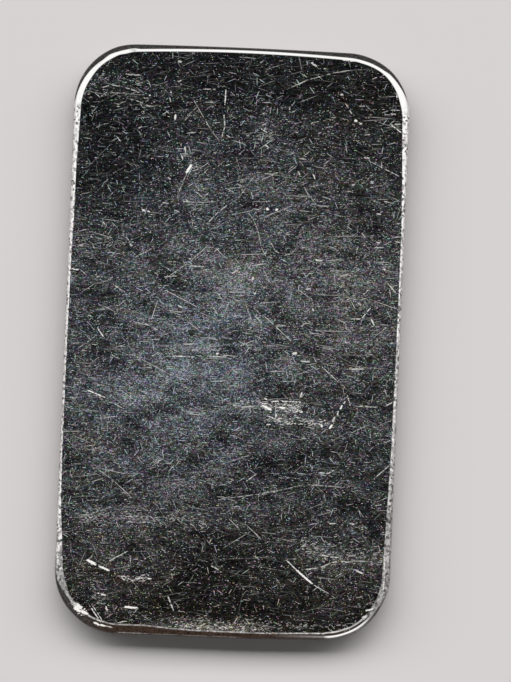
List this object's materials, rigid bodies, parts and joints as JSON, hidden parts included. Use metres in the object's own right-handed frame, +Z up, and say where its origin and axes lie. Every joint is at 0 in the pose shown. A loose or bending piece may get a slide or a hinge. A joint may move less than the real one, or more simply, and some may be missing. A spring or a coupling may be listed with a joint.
{
  "type": "metal ingot",
  "caption": "Flat rectangular silver ingot with rounded corners and a rolled edge, its plain polished face scratched and toned with use; lies flat and stacks.",
  "frame": {"origin": "middle of the underside, on the surface that the bar lies on", "axes": "+Z up through the thickness, out of the scratched face; +Y along the length, X across the width"},
  "size_m": [0.0284, 0.05, 0.0022],
  "materials": {
    "silver": "polished silver, scratched and toned"
  },
  "bodies": {
    "root": {"silver_bar": "silver"}
  },
  "joints": []
}
